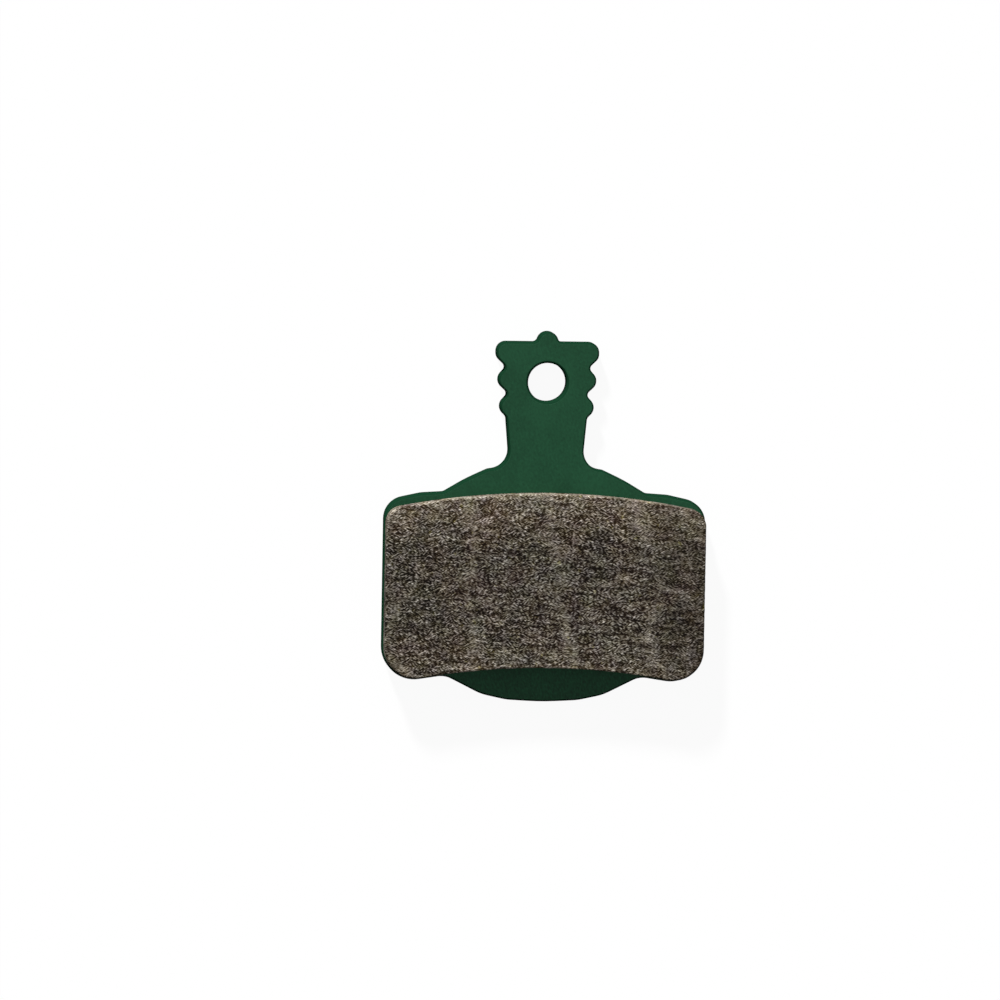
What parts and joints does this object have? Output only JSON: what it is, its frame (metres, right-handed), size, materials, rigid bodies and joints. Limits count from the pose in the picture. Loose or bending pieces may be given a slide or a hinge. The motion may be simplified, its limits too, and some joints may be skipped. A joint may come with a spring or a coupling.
{
  "type": "bicycle disc brake pad",
  "caption": "Bicycle disc brake pad: a coated, stamped steel backing plate with a notched tab and a pin hole, and a moulded friction block bonded to its front face.",
  "frame": {"origin": "centre of the pin hole, on the back face of the plate", "axes": "+Z out of the friction face, along the pin; +Y from the body towards the top of the tab; +X across the pad, to the right when the friction face is seen with the tab up. The pad lies on its back face"},
  "size_m": [0.034, 0.0391, 0.004],
  "materials": {
    "green_coat": "satin",
    "friction_compound": "matte"
  },
  "bodies": {
    "root": {"backing_plate": "green_coat", "friction_block": "friction_compound"}
  },
  "joints": []
}
